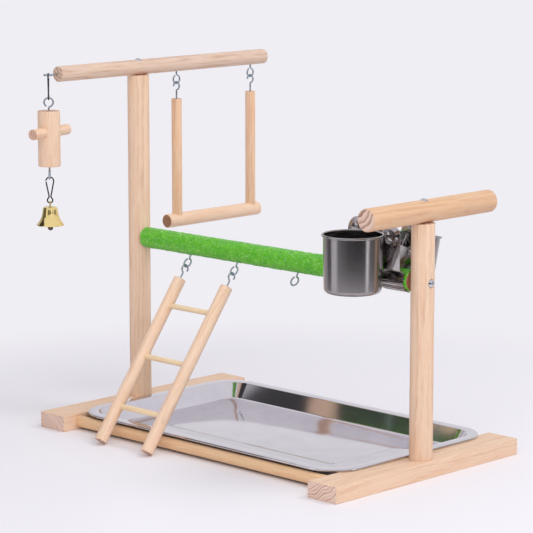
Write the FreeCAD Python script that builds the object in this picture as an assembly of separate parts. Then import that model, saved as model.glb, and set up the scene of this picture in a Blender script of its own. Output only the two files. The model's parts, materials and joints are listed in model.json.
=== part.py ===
import FreeCAD, Part
import math
import os
from FreeCAD import Vector as V

os.makedirs("parts", exist_ok=True)

# Parrot play stand. Millimetres, +Z up. +X runs from the tall post to the short post, +Y to the back.
# The origin is the centre of the underside of the tall post's foot board.

# ---- driving sizes: frame ----
footWidth = 40.0
footHeight = 18.0
footLength = 290.0
footEase = 0.8
postSpacing = 434.0
postLine = -8.0               # y of both posts and of the middle perch
shortFootX = 430.0            # centre of the short post's foot
shortFootY = -11.0
postDiameter = 25.0
tallPostHeight = 376.5
shortPostHeight = 251.5
railDiameter = 13.0
railLine = 121.0              # y of the two floor rails, front and back
railHeight = 9.0
railLetIn = 12.0
topPerchDiameter = 17.5
topPerchFront = -129.5
topPerchBack = 196.5
sidePerchDiameter = 24.0
sidePerchFront = -96.5
sidePerchBack = 98.5
endEase = 1.2
middlePerchDiameter = 22.0
middlePerchHeight = 207.0
gritThickness = 1.0
gritSetBack = 0.5

# ---- screws ----
screwHead = 9.0
screwHeadHeight = 2.8
screwShank = 4.0
screwLength = 34.0
screwSeat = 1.2
postScrewSeat = 0.9
sunkHead = 8.0
crossWidth = 1.0
crossSpan = 4.6
crossDepth = 1.6
screwFit = 0.05
headFit = 0.3                 # round the head in its spot face, and under the sunk heads

# ---- screw eyes and hooks ----
eyeWire = 2.0
eyeRadius = 5.0
eyeTurn = 315.0
hookRadius = 4.6
hookTurn = 263.0
bendRadius = 2.0
eyeNeck = 3.4
ladderEyeNeck = 4.5
toyEyeNeck = 7.3
wireLetIn = 12.0
hangFit = 0.1
pegFit = 0.1
tipFit = 0.2                  # beyond the end of each wire shank

# ---- swing ----
swingFront = 52.5
swingBack = 174.5
uprightDiameter = 12.0
hookDrop = 17.6               # from the hooks' pivot to the top of the uprights
uprightLength = 142.0
uprightLetIn = 7.0
swingBarDiameter = 16.0
swingBarFront = 35.5
swingBarBack = 186.0

# ---- ladder ----
ladderLeft = 92.7
ladderRight = 167.6
ladderLean = 36.4             # from upright, with the rails standing on the floor
ladderEyeLean = 31.5
ladderRailDiameter = 14.0
ladderRailStart = 16.0        # below the hooks' pivot
rungDiameter = 6.0
rungLetIn = 9.0
rungFirst = 50.0              # from the hooks' pivot, along the rails
rungSecond = 115.0
rungThird = 178.5
spareEyeX = 260.9

# ---- tray ----
trayGap = 0.5
trayFront = -124.0
trayBack = 128.0
trayCorner = 40.0
trayFlange = 12.0
trayWallInset = 13.0
trayFloor = 2.0
traySheet = 0.6
trayRoll = 2.6
trayBend = 3.0
panelLength = 254.0
panelWidth = 100.0
panelCorner = 6.0
panelRise = 0.8
panelY = 2.0

# ---- hanging toy ----
snapWire = 1.6
snapHeight = 28.9
snapLoop = 3.0
snapBulge = 4.3
snapWaist = 1.05
snapBend = 2.5
snapNose = 175.0              # where the wire's free end stops on the bulge, in degrees
blockDiameter = 25.0
blockHeight = 62.0
dowelDiameter = 12.0
dowelLength = 66.0
dowelDrop = 24.0
dowelTurn = 14.0
dowelShift = 2.0
bellMouth = 31.0
bellShoulder = 16.5
bellHeight = 20.5
bellSheet = 0.8
bellShoulderBend = 3.0
bellLoopWire = 1.4
bellLoopRadius = 2.4
bellLoopRise = 3.4
bellCross = 3.6
clapperBall = 6.2
clapperWire = 1.2
clapperRing = 2.0
clapperDrop = 19.0
clapperBend = 1.0
clapperTurn = 290.0
bellLoopTurn = 160.0
bellLoopTuck = 0.6

# ---- feeding cups and their spring clips ----
cupDiameter = 63.0
cupTaper = 2.0                # the bottom's diameter is less by this
cupHeight = 62.0
cupDrop = 12.0                # from the perch axis down to the cup's bottom
cupSheet = 0.7
cupBend = 5.0
cupRoll = 2.5
wallDistance = 15.0           # from the perch axis to the cup wall
clipOffset = 25.0             # from the cup's centre to the clip's, along the perch
postGap = 3.0                 # from the short post to the front clip's jaws
clipGap = 27.5                # between the front clip's jaws and the rear one's
rearLean = 12.0
jawWidth = 31.0
armWidth = 23.0
clipSheet = 1.0
jawGap = 0.3
jawTop = 40.0
jawBottom = -78.0
fluteRadius = 1.7
flutes = (-8.0, -42.0)
armPlane = 14.2
padHeight = 47.0              # centre of the finger pad, above the perch axis
padRing = 7.0
padRingRise = 0.7
padRingWidth = 1.6
pinHeight = 29.0
pinDiameter = 3.0
pinHead = 5.0
pinHeadHeight = 1.0
pinFit = 0.05
flangeEnd = 4.4
flangeFit = 0.25
tabHeight = 13.0
tabTop = 44.0
tabReach = 8.0
tabFit = 0.05
rivetDiameter = 3.0
rivetHead = 6.0
rivetHeadHeight = 1.5
rivetSunk = 0.3
rivetNear = 8.5               # from the cup's centre, along the perch
rivetFar = -2.0
springWire = 1.4
springRadius = 3.4
springTurns = 3
springPitch = 1.95
springLegAngle = 55.0
slotWidth = 2.6
slotLow = 5.2                 # above the pin
slotHigh = 16.0
flangeDrop = 8.0              # from the pad's centre down to the flanges' top

X, Y, Z = V(1, 0, 0), V(0, 1, 0), V(0, 0, 1)


# ---- helpers ----
def rod(diameter, start, end):
    return Part.makeCylinder(diameter / 2, (end - start).Length, start, end - start)


def easedRod(diameter, start, end, ease):
    body = rod(diameter, start, end)
    rims = [e for e in body.Edges if e.Closed]
    return body.makeChamfer(ease, rims)


def slab(x0, x1, y0, y1, z0, z1):
    return Part.makeBox(x1 - x0, y1 - y0, z1 - z0, V(x0, y0, z0))


def onCircle(place, centre, radius, degrees):
    a = math.radians(degrees)
    return place(centre[0] + radius * math.cos(a), centre[1] + radius * math.sin(a))


def arc(place, centre, radius, first, last):
    # arc of a plane path, cut so that no edge passes a half turn
    cuts = int(abs(last - first) // 170) + 1
    step = (last - first) / cuts
    edges = []
    for i in range(cuts):
        a = first + i * step
        three = [onCircle(place, centre, radius, a + k * step / 2) for k in range(3)]
        edges.append(Part.Arc(*three).toShape())
    return edges


def wire(edges, diameter):
    # round wire along tangent edges
    start = edges[0].valueAt(edges[0].FirstParameter)
    heading = edges[0].tangentAt(edges[0].FirstParameter)
    ring = Part.Wire([Part.Circle(start, heading, diameter / 2).toShape()])
    return Part.Wire(edges).makePipeShell([ring], True, False)


def bentRing(centre, out, side, radius, turn, reach):
    # shank, small bend, then the ring: a screw eye or an open hook, with its ring at centre
    def place(a, b):
        return centre + side * a - out * b
    bendAt = math.sqrt(radius ** 2 + 2 * radius * bendRadius)
    meet = math.degrees(math.atan2(bendAt, bendRadius))
    edges = [Part.LineSegment(place(0, reach), place(0, bendAt)).toShape()]
    edges += arc(place, (bendRadius, bendAt), bendRadius, 180, 180 + meet)
    edges += arc(place, (0, 0), radius, meet, meet - turn)
    return wire(edges, eyeWire)


def snapHook(bottom, side):
    # one bent wire: nose, bulge, waist, small loop, waist and gate
    def place(a, b):
        return bottom + side * a + Z * b
    top = snapHeight - snapBulge
    bendX = snapWaist + snapBend
    bendZ = snapLoop + math.sqrt((snapLoop + snapBend) ** 2 - bendX ** 2)
    reach = math.hypot(bendX, bendZ - top)
    leave = math.degrees(math.atan2(bendZ - top, bendX)) + math.degrees(
        math.acos((snapBulge + snapBend) / reach))
    meet = math.degrees(math.atan2(bendZ - snapLoop, bendX))
    edges = arc(place, (0, top), snapBulge, snapNose, leave)
    high = onCircle(place, (0, top), snapBulge, leave)
    low = onCircle(place, (bendX, bendZ), snapBend, leave + 180)
    edges.append(Part.LineSegment(high, low).toShape())
    edges += arc(place, (bendX, bendZ), snapBend, leave + 180, meet + 180)
    edges += arc(place, (0, snapLoop), snapLoop, meet, -180 - meet)
    edges += arc(place, (-bendX, bendZ), snapBend, -meet, -leave)
    gateLow = onCircle(place, (-bendX, bendZ), snapBend, -leave)
    gateHigh = onCircle(place, (0, top), snapBulge, 180 - leave)
    edges.append(Part.LineSegment(gateLow, gateHigh).toShape())
    return wire(edges, snapWire)


def roundedRectangle(x0, x1, y0, y1, radius, z):
    def place(a, b):
        return V(a, b, z)
    corners = ((x1 - radius, y1 - radius, 0), (x0 + radius, y1 - radius, 90),
               (x0 + radius, y0 + radius, 180), (x1 - radius, y0 + radius, 270))
    edges = []
    for i, (cx, cy, a) in enumerate(corners):
        edges += arc(place, (cx, cy), radius, a, a + 90)
        nx, ny, na = corners[(i + 1) % 4]
        edges.append(Part.LineSegment(onCircle(place, (cx, cy), radius, a + 90),
                                      onCircle(place, (nx, ny), radius, na)).toShape())
    return Part.Wire(edges)


def turned(edges, base, axis):
    return Part.Face(Part.Wire(edges)).revolve(base, axis, 360)


def lines(place, points):
    pairs = zip(points, points[1:])
    return [Part.LineSegment(place(*p), place(*q)).toShape() for p, q in pairs]


def panScrew(seat, outward):
    # round head with a cross recess, its underside at seat
    side = X if abs(outward.x) < 0.5 else Y
    other = outward.cross(side)

    def place(r, h):
        return seat + side * r + outward * h
    half = screwHead / 2
    crown = (half ** 2 + screwHeadHeight ** 2) / (2 * screwHeadHeight)
    rise = screwHeadHeight - crown
    mid = math.degrees(math.asin(half / crown)) / 2
    dome = Part.Arc(place(half, 0), onCircle(place, (0, rise), crown, 90 - mid), place(0, screwHeadHeight))
    edges = lines(place, ((0, screwHeadHeight), (0, 0), (half, 0))) + [dome.toShape()]
    screw = turned(edges, seat, outward).fuse(rod(screwShank, seat, seat - outward * screwLength))
    for along, across in ((side, other), (other, side)):
        blade = Part.makeBox(crossSpan, crossWidth, crossDepth)
        matrix = FreeCAD.Matrix(along.x, across.x, outward.x, 0, along.y, across.y, outward.y, 0,
                                along.z, across.z, outward.z, 0)
        if along.cross(across).dot(outward) < 0:
            matrix = FreeCAD.Matrix(along.x, -across.x, outward.x, 0, along.y, -across.y, outward.y, 0,
                                    along.z, -across.z, outward.z, 0)
            across = across * -1
        blade = blade.transformGeometry(matrix)
        blade.translate(seat - along * crossSpan / 2 - across * crossWidth / 2
                        + outward * (screwHeadHeight - crossDepth))
        screw = screw.cut(blade)
    return screw.removeSplitter()


def panHole(seat, outward, depth):
    # spot face for the head and a shank hole
    head = rod(screwHead + 2 * headFit, seat, seat + outward * depth)
    return head.fuse(rod(screwShank + 2 * screwFit, seat + outward, seat - outward * (screwLength + 1)))


pieces = {}

# ---- foot boards, rails and posts ----
tallAxis = V(0, postLine, 0)
shortAxis = V(postSpacing, postLine, 0)
tallTop = footHeight + tallPostHeight
shortTop = footHeight + shortPostHeight
topPerchHeight = tallTop + topPerchDiameter / 2
sidePerchHeight = shortTop + sidePerchDiameter / 2
innerLeft = footWidth / 2
innerRight = shortFootX - footWidth / 2


def footBoard(x, y, postAxis, inward):
    board = slab(x - footWidth / 2, x + footWidth / 2, y - footLength / 2, y + footLength / 2, 0, footHeight)
    board = board.makeChamfer(footEase, board.Edges)
    for side in (-railLine, railLine):
        face = x + inward * footWidth / 2
        start = V(face - inward * (railLetIn + pegFit), side, railHeight)
        board = board.cut(rod(railDiameter + 2 * pegFit, start, V(face + inward, side, railHeight)))
    sink = Part.makeCone(sunkHead / 2 + headFit, screwShank / 2 + screwFit, sunkHead / 2, postAxis, Z)
    hole = rod(screwShank + 2 * screwFit, postAxis, postAxis + Z * (footHeight + 1))
    return board.cut(sink.fuse(hole))


def sunkScrew(postAxis):
    head = Part.makeCone(sunkHead / 2, screwShank / 2, sunkHead / 2 - headFit, postAxis + Z * headFit, Z)
    return head.fuse(rod(screwShank, postAxis + Z, postAxis + Z * screwLength)).removeSplitter()


pieces["left_foot"] = footBoard(0, 0, tallAxis, 1)
pieces["right_foot"] = footBoard(shortFootX, shortFootY, shortAxis, -1)
for name, side in (("front_rail", -railLine), ("rear_rail", railLine)):
    pieces[name] = rod(railDiameter, V(innerLeft - railLetIn, side, railHeight),
                       V(innerRight + railLetIn, side, railHeight))
pieces["tall_foot_screw"] = sunkScrew(tallAxis)
pieces["short_foot_screw"] = sunkScrew(shortAxis)

footHole = Z * (screwLength + 1)
perchLeft = postDiameter / 2
perchRight = postSpacing - postDiameter / 2
perchAxisLeft = V(perchLeft, postLine, middlePerchHeight)
perchAxisRight = V(perchRight, postLine, middlePerchHeight)
topSeat = V(0, postLine, topPerchHeight + topPerchDiameter / 2 - screwSeat)
sideSeat = V(postSpacing, postLine, sidePerchHeight + sidePerchDiameter / 2 - screwSeat)
leftSeat = V(-postDiameter / 2 + postScrewSeat, postLine, middlePerchHeight)
rightSeat = V(postSpacing + postDiameter / 2 - postScrewSeat, postLine, middlePerchHeight)
holeTop = panHole(topSeat, Z, screwSeat + 1)
holeSide = panHole(sideSeat, Z, screwSeat + 1)
holeLeft = panHole(leftSeat, X * -1, postScrewSeat + 1)
holeRight = panHole(rightSeat, X, postScrewSeat + 1)


def post(axis, top):
    body = rod(postDiameter, axis + Z * footHeight, V(axis.x, axis.y, top))
    return body.cut(rod(screwShank + 2 * screwFit, axis, axis + footHole))


pieces["tall_post"] = post(tallAxis, tallTop).cut(holeTop).cut(holeLeft)
pieces["short_post"] = post(shortAxis, shortTop).cut(holeSide).cut(holeRight)
pieces["top_perch_screw"] = panScrew(topSeat, Z)
pieces["side_perch_screw"] = panScrew(sideSeat, Z)
pieces["tall_post_screw"] = panScrew(leftSeat, X * -1)
pieces["short_post_screw"] = panScrew(rightSeat, X)

# ---- screw eyes, as a ring centre and directions ----
gritDiameter = middlePerchDiameter + 2 * gritThickness
eyeOuter = eyeRadius + eyeWire / 2
eyeReach = eyeNeck + eyeOuter + wireLetIn
hangRise = eyeWire + hangFit          # from the eye's wire to the hook's, centre to centre
swingRingZ = topPerchHeight - topPerchDiameter / 2 - eyeNeck - eyeOuter
swingPivotZ = swingRingZ - eyeRadius
lean = math.radians(ladderEyeLean)
ladderOut = V(0, -math.sin(lean), -math.cos(lean))
ladderRing = gritDiameter / 2 + ladderEyeNeck + eyeOuter
ladderPivot = V(0, postLine, middlePerchHeight) + ladderOut * (ladderRing + eyeRadius)
toyRing = V(0, topPerchFront - toyEyeNeck - eyeOuter, topPerchHeight)


def shankHole(centre, out, reach):
    return rod(eyeWire + 2 * screwFit, centre - out * reach, centre)


top = easedRod(topPerchDiameter, V(0, topPerchFront, topPerchHeight), V(0, topPerchBack, topPerchHeight),
               endEase)
top = top.cut(holeTop)
for name, y in (("swing_eye_front", swingFront), ("swing_eye_rear", swingBack)):
    centre = V(0, y, swingRingZ)
    pieces[name] = bentRing(centre, Z * -1, Y, eyeRadius, eyeTurn, eyeReach)
    top = top.cut(shankHole(centre, Z * -1, eyeReach + tipFit))
toyReach = toyEyeNeck + eyeOuter + wireLetIn
pieces["toy_eye"] = bentRing(toyRing, Y * -1, X * -1, eyeRadius, eyeTurn, toyReach)
pieces["top_perch"] = top.cut(shankHole(toyRing, Y * -1, toyReach + tipFit))
side = easedRod(sidePerchDiameter, V(postSpacing, sidePerchFront, sidePerchHeight),
                V(postSpacing, sidePerchBack, sidePerchHeight), endEase)
pieces["side_perch"] = side.cut(holeSide)

middle = rod(middlePerchDiameter, perchAxisLeft, perchAxisRight).cut(holeLeft).cut(holeRight)
grit = rod(gritDiameter, perchAxisLeft + X * gritSetBack, perchAxisRight - X * gritSetBack)
grit = grit.cut(rod(middlePerchDiameter, perchAxisLeft, perchAxisRight))
ladderReach = ladderRing - gritDiameter / 2 + wireLetIn
for name, x in (("ladder_eye_left", ladderLeft), ("ladder_eye_right", ladderRight), ("spare_eye", spareEyeX)):
    centre = V(x, postLine, middlePerchHeight) + ladderOut * ladderRing
    pieces[name] = bentRing(centre, ladderOut, X, eyeRadius, eyeTurn, ladderReach)
    hole = shankHole(centre, ladderOut, ladderReach + tipFit)
    middle, grit = middle.cut(hole), grit.cut(hole)
pieces["middle_perch"] = middle
pieces["grit_sleeve"] = grit

# ---- tray ----
trayLeft = perchLeft + trayGap
trayRight = perchRight - trayGap
rimTop = footHeight + trayRoll


def trayOutline(inset, radius, z):
    return roundedRectangle(trayLeft + inset, trayRight - inset, trayFront + inset, trayBack - inset,
                            radius, z)


def pan(grow, floor, bend):
    # the tray's bowl as a filled solid, drawn in by grow
    inset = trayFlange + trayWallInset
    low = trayOutline(inset + grow, trayCorner - inset - grow, floor)
    high = trayOutline(trayFlange + grow, trayCorner - trayFlange - grow, rimTop)
    bowl = Part.makeLoft([low, high], True, True)
    floorEdges = [e for e in bowl.Edges if e.BoundBox.ZMax < floor + 0.01]
    return bowl.makeFillet(bend, floorEdges)


slope = math.hypot(trayWallInset, rimTop - trayFloor) / (rimTop - trayFloor)
bowl = pan(0, trayFloor, trayBend).cut(pan(traySheet * slope, trayFloor + traySheet, trayBend - traySheet))
flange = Part.Face(trayOutline(trayRoll / 2, trayCorner - trayRoll / 2, rimTop - traySheet))
flange = flange.extrude(Z * traySheet)
mouth = Part.Face(trayOutline(trayFlange + traySheet * 0.5, trayCorner - trayFlange - traySheet * 0.5, 0))
flange = flange.cut(mouth.extrude(Z * 2 * rimTop))
roll = trayOutline(trayRoll / 2, trayCorner - trayRoll / 2, rimTop - trayRoll / 2)
rollEdge = roll.Edges[0]
rollRing = Part.Circle(rollEdge.valueAt(rollEdge.FirstParameter), rollEdge.tangentAt(rollEdge.FirstParameter),
                       trayRoll / 2).toShape()
roll = roll.makePipeShell([Part.Wire([rollRing])], True, False)
tray = bowl.fuse(flange).fuse(roll)
panelX = (trayLeft + trayRight) / 2


def panel(shrink, low, high):
    outline = roundedRectangle(panelX - panelLength / 2 + shrink, panelX + panelLength / 2 - shrink,
                               panelY - panelWidth / 2 + shrink, panelY + panelWidth / 2 - shrink,
                               panelCorner - shrink, low)
    return Part.Face(outline).extrude(Z * (high - low))


trayInside = trayFloor + traySheet
tray = tray.fuse(panel(0, trayFloor + traySheet / 2, trayInside + panelRise))
tray = tray.cut(panel(traySheet, trayFloor - 1, trayFloor + panelRise))
pieces["tray"] = tray.removeSplitter()

# ---- swing ----
hookRingZ = swingPivotZ + hangRise - hookRadius
uprightTop = swingPivotZ - hookDrop
uprightFoot = uprightTop - uprightLength
swingBarHeight = uprightFoot + uprightLetIn - swingBarDiameter / 2
bar = easedRod(swingBarDiameter, V(0, swingBarFront, swingBarHeight), V(0, swingBarBack, swingBarHeight),
               endEase)
for name, y in (("front", swingFront), ("rear", swingBack)):
    foot = V(0, y, uprightFoot)
    upright = easedRod(uprightDiameter, foot, V(0, y, uprightTop), endEase / 2)
    hookCentre = V(0, y, hookRingZ)
    hookReach = hookRingZ - uprightTop + wireLetIn
    pieces["swing_upright_" + name] = upright.cut(shankHole(hookCentre, Z, hookReach + tipFit))
    pieces["swing_hook_" + name] = bentRing(hookCentre, Z, X, hookRadius, hookTurn, hookReach)
    bar = bar.cut(rod(uprightDiameter + 2 * pegFit, foot - Z * pegFit, foot + Z * swingBarDiameter))
pieces["swing_bar"] = bar

# ---- ladder: leans from its hooks to the floor ----
ladderTilt = math.radians(ladderLean)
down = V(0, -math.sin(ladderTilt), -math.cos(ladderTilt))
ladderLength = (ladderPivot.z - ladderRailDiameter / 2 * math.sin(ladderTilt)) / math.cos(ladderTilt)
rungInner = ladderRailDiameter / 2 - rungLetIn
rungAt = (rungFirst, rungSecond, rungThird)
for name, x, sign in (("left", ladderLeft, 1), ("right", ladderRight, -1)):
    pivot = ladderPivot + X * x
    rail = rod(ladderRailDiameter, pivot + down * ladderRailStart, pivot + down * ladderLength)
    hookCentre = pivot + down * (hookRadius - hangRise)
    hookReach = ladderRailStart + wireLetIn - hookRadius + hangRise
    rail = rail.cut(shankHole(hookCentre, down * -1, hookReach + tipFit))
    for at in rungAt:
        centre = pivot + down * at
        inner = centre + X * sign * ladderRailDiameter
        rail = rail.cut(rod(rungDiameter + 2 * pegFit, inner, centre + X * sign * (rungInner - pegFit)))
    pieces["ladder_rail_" + name] = rail
    side = down.cross(X)
    pieces["ladder_hook_" + name] = bentRing(hookCentre, down * -1, side, hookRadius, hookTurn, hookReach)
for i, at in enumerate(rungAt):
    centre = ladderPivot + down * at
    pieces["ladder_rung_%d" % (i + 1)] = rod(rungDiameter, centre + X * (ladderLeft + rungInner),
                                             centre + X * (ladderRight - rungInner))

# ---- hanging toy ----
toyX = eyeRadius * math.sqrt(0.5)
along = V(math.sqrt(0.5), math.sqrt(0.5), 0)
across = V(math.sqrt(0.5), -math.sqrt(0.5), 0)
hang = V(toyX, toyRing.y - toyX, toyRing.z)
snapRise = (eyeWire + snapWire) / 2 + 2 * hangFit
upperBottom = hang + Z * (snapRise - snapHeight)
pieces["upper_snap_hook"] = snapHook(upperBottom, across)
blockEye = upperBottom + Z * (snapRise - eyeRadius)
blockTop = blockEye - Z * (eyeNeck + eyeOuter)
blockBottom = blockTop - Z * blockHeight
lowerEye = blockBottom - Z * (eyeNeck + eyeOuter)
block = easedRod(blockDiameter, blockBottom, blockTop, endEase)
turn = math.radians(dowelTurn)
dowelAxis = V(math.sin(turn), -math.cos(turn), 0)
dowelMiddle = blockTop - Z * dowelDrop - dowelAxis * dowelShift
block = block.cut(rod(dowelDiameter + 2 * screwFit, dowelMiddle - dowelAxis * blockDiameter,
                      dowelMiddle + dowelAxis * blockDiameter))
block = block.cut(shankHole(blockEye, Z, eyeReach + tipFit))
block = block.cut(shankHole(lowerEye, Z * -1, eyeReach + tipFit))
pieces["toy_block"] = block
pieces["cross_dowel"] = easedRod(dowelDiameter, dowelMiddle - dowelAxis * dowelLength / 2,
                                 dowelMiddle + dowelAxis * dowelLength / 2, endEase / 2)
pieces["block_top_eye"] = bentRing(blockEye, Z, along, eyeRadius, eyeTurn, eyeReach)
pieces["block_bottom_eye"] = bentRing(lowerEye, Z * -1, across, eyeRadius, eyeTurn, eyeReach)
lowerBottom = lowerEye + Z * (snapRise - eyeRadius - snapHeight)
pieces["lower_snap_hook"] = snapHook(lowerBottom, along)

# bell: one sheet wall, its curve drawn at two offsets
loopRise = (snapWire + bellLoopWire) / 2 + 1.5 * hangFit
loopCentre = lowerBottom + Z * (loopRise - bellLoopRadius)
bellTop = loopCentre - Z * bellLoopRise
bellRim = bellTop - Z * bellHeight
steep, flare = math.radians(82), math.radians(46)
crown = bellShoulder / 2 - bellShoulderBend
startR = crown + bellShoulderBend * math.sin(steep)
startZ = bellHeight - bellShoulderBend * (1 - math.cos(steep))
sweepR = math.sin(steep) - math.sin(flare)
sweepZ = math.cos(flare) - math.cos(steep)
needR = bellMouth / 2 - startR
flareRadius = (startZ - needR * math.tan(steep)) / (sweepZ - sweepR * math.tan(steep))
wallRun = (needR - flareRadius * sweepR) / math.cos(steep)


def bellPlace(r, h):
    return bellRim + X * r + Z * h


def bellWall(inward):
    bend, out = bellShoulderBend - inward, flareRadius + inward
    low = (crown + bend * math.sin(steep), bellHeight - bellShoulderBend + bend * math.cos(steep))
    turnAt = (low[0] + wallRun * math.cos(steep), low[1] - wallRun * math.sin(steep))
    flareCentre = (turnAt[0] + out * math.sin(steep), turnAt[1] + out * math.cos(steep))
    first, last = 180 + math.degrees(math.pi / 2 - steep), 180 + math.degrees(math.pi / 2 - flare)
    edges = lines(bellPlace, ((0, bellHeight - inward), (crown, bellHeight - inward)))
    edges += arc(bellPlace, (crown, bellHeight - bellShoulderBend), bend, 90, 90 - math.degrees(steep))
    edges += lines(bellPlace, (low, turnAt))
    edges += arc(bellPlace, flareCentre, out, first, last)
    return edges


outer, inner = bellWall(0), bellWall(bellSheet)
ends = [e[-1].valueAt(e[-1].LastParameter) for e in (outer, inner)]
closing = [Part.LineSegment(*ends).toShape()]
closing += lines(bellPlace, ((0, bellHeight - bellSheet), (0, bellHeight)))
bell = turned(outer + closing + inner, bellRim, Z)


def loopPlace(a, b):
    return loopCentre + across * a + Z * b


legEnd = -(bellLoopRise + bellSheet + bellCross) + bellLoopRadius - bellLoopTuck
loopEdges = arc(loopPlace, (0, 0), bellLoopRadius, 180, 0)
loopEdges += lines(loopPlace, ((bellLoopRadius, 0), (bellLoopRadius, legEnd)))
loopEdges += arc(loopPlace, (0, legEnd), bellLoopRadius, 0, -bellLoopTurn)
leg = lines(loopPlace, ((-bellLoopRadius, -bellLoopRise - bellSheet - 1), (-bellLoopRadius, 0)))
pieces["bell_loop"] = wire(leg + loopEdges, bellLoopWire)
for a in (-bellLoopRadius, bellLoopRadius):
    below = loopPlace(a, -bellLoopRise - bellSheet - 1)
    bell = bell.cut(rod(bellLoopWire + 2 * screwFit, loopPlace(a, 0), below))
pieces["bell"] = bell

clapperPivot = loopPlace(0, legEnd - bellLoopRadius)
clapperRise = (bellLoopWire + clapperWire) / 2 + hangFit
clapperCentre = clapperPivot + Z * (clapperRise - clapperRing)


def clapperPlace(a, b):
    return clapperCentre + along * a + Z * b


ballCentre = clapperPivot - Z * clapperDrop
bendAt = math.sqrt(clapperRing ** 2 + 2 * clapperRing * clapperBend)
meet = math.degrees(math.atan2(bendAt, clapperBend))
ballEnd = ballCentre.z - clapperCentre.z
clapperEdges = lines(clapperPlace, ((0, ballEnd), (0, -bendAt)))
clapperEdges += arc(clapperPlace, (clapperBend, -bendAt), clapperBend, 180, 180 - meet)
clapperEdges += arc(clapperPlace, (0, 0), clapperRing, -meet, -meet + clapperTurn)
clapper = wire(clapperEdges, clapperWire)
pieces["clapper"] = clapper.fuse(Part.makeSphere(clapperBall / 2, ballCentre)).removeSplitter()

# ---- feeding cup and spring clip, drawn once about the perch axis, w outward from it ----
clipX = perchRight - postGap - jawWidth / 2
cupX = clipX - clipOffset
cupBottom = middlePerchHeight - cupDrop
rearTurnX = clipX - (jawWidth + clipGap) / 2    # the rear unit is turned about this upright line


def prism(place, outlineEdges, width):
    return Part.Face(Part.Wire(outlineEdges)).extrude(X * width)


def cupSolid():
    centreW = wallDistance + cupDiameter / 2
    base = V(cupX, postLine - centreW, cupBottom)

    def place(r, h):
        return base + X * r + Z * h

    def wall(inward):
        rise = cupHeight - cupRoll / 2
        foot = (cupDiameter - cupTaper) / 2
        edges = lines(place, ((0, inward), (foot - cupBend, inward)))
        edges += arc(place, (foot - cupBend, cupBend), cupBend - inward, -90, 0)
        edges += lines(place, ((foot - inward, cupBend), (cupDiameter / 2 - inward, rise)))
        return edges
    outside, inside = wall(0), wall(cupSheet)
    rise = cupHeight - cupRoll / 2
    close = lines(place, ((cupDiameter / 2, rise), (cupDiameter / 2 - cupSheet, rise)))
    close += lines(place, ((0, cupSheet), (0, 0)))
    body = turned(outside + close + inside, base, Z)
    bead = Part.makeTorus(cupDiameter / 2 - cupSheet + cupRoll / 2, cupRoll / 2, base + Z * rise, Z)
    return body.fuse(bead), centreW


def clipArm(flip, inset):
    # jaw, bent plate, finger pad and two flanges on the pin; flip -1 mirrors it across the perch
    half = clipSheet / 2
    jaw = gritDiameter / 2 + jawGap + half

    def at(x):
        def place(w, h):
            return V(x, postLine - flip * w, middlePerchHeight + h)
        return place
    x0 = clipX - jawWidth / 2
    place = at(x0)
    start = (jaw * math.cos(math.radians(jawTop)), jaw * math.sin(math.radians(jawTop)))
    bandEdges = arc(place, (0, 0), jaw - half, jawBottom, jawTop)
    bandEdges += [Part.LineSegment(onCircle(place, (0, 0), jaw - half, jawTop),
                                   onCircle(place, (0, 0), jaw + half, jawTop)).toShape()]
    bandEdges += arc(place, (0, 0), jaw + half, jawTop, jawBottom)
    bandEdges += [Part.LineSegment(onCircle(place, (0, 0), jaw + half, jawBottom),
                                   onCircle(place, (0, 0), jaw - half, jawBottom)).toShape()]
    arm = prism(place, bandEdges, jawWidth)
    for a in flutes:
        ridge = onCircle(place, (0, 0), jaw, a)
        groove = rod(2 * (fluteRadius - clipSheet), ridge, ridge + X * jawWidth)
        arm = arm.fuse(rod(2 * fluteRadius, ridge, ridge + X * jawWidth)).cut(groove)
    clear = rod(gritDiameter + 2 * jawGap, place(0, 0), place(0, 0) + X * jawWidth)
    arm = arm.cut(clear)
    # plate: out from the jaw's edge, then upright to the pad
    x1 = clipX - armWidth / 2
    place = at(x1)
    lift = start[1] + (armPlane - start[0]) * 0.9
    inner, outer = armPlane - half, armPlane + half
    outline = ((start[0] - half * 0.9, start[1] + half), (inner, lift + half), (inner, padHeight),
               (outer, padHeight), (outer, lift - half * 0.3), (start[0] + half * 1.3, start[1] - half * 0.4),
               (start[0] - half * 0.9, start[1] + half))
    plate = prism(place, lines(place, outline), armWidth)
    padAt = V(clipX, postLine - flip * inner, middlePerchHeight + padHeight)
    outward = V(0, -flip, 0)
    plate = plate.fuse(Part.makeCylinder(armWidth / 2, clipSheet, padAt, outward))
    ring = Part.makeCylinder(padRing, padRingRise + clipSheet / 2, padAt + outward * half, outward)
    ring = ring.cut(Part.makeCylinder(padRing - padRingWidth, 9, padAt - outward, outward))
    plate = plate.fuse(ring)
    # slot that the spring's leg bears in
    legX = springLegX(flip)
    slot = slab(legX - slotWidth / 2, legX + slotWidth / 2, -3, 3, pinHeight + slotLow, pinHeight + slotHigh)
    slot.translate(V(0, postLine - flip * armPlane, middlePerchHeight))
    plate = plate.cut(slot)
    arm = arm.fuse(plate)
    root = armPlane - half * 0.5
    for s in (-1, 1):
        face = clipX + s * (armWidth / 2 - inset)
        place = at(min(face, face - s * clipSheet))
        shape = lines(place, ((root, lift + 1.5), (root, padHeight - flangeDrop), (0, pinHeight + flangeEnd)))
        shape += arc(place, (0, pinHeight), flangeEnd, 90, 270)
        shape += lines(place, ((0, pinHeight - flangeEnd), (root, lift + 1.5)))
        arm = arm.fuse(prism(place, shape, clipSheet))
    pinAt = V(clipX - jawWidth, postLine, middlePerchHeight + pinHeight)
    arm = arm.cut(rod(pinDiameter + 2 * pinFit, pinAt, pinAt + X * 2 * jawWidth))
    return arm


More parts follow.
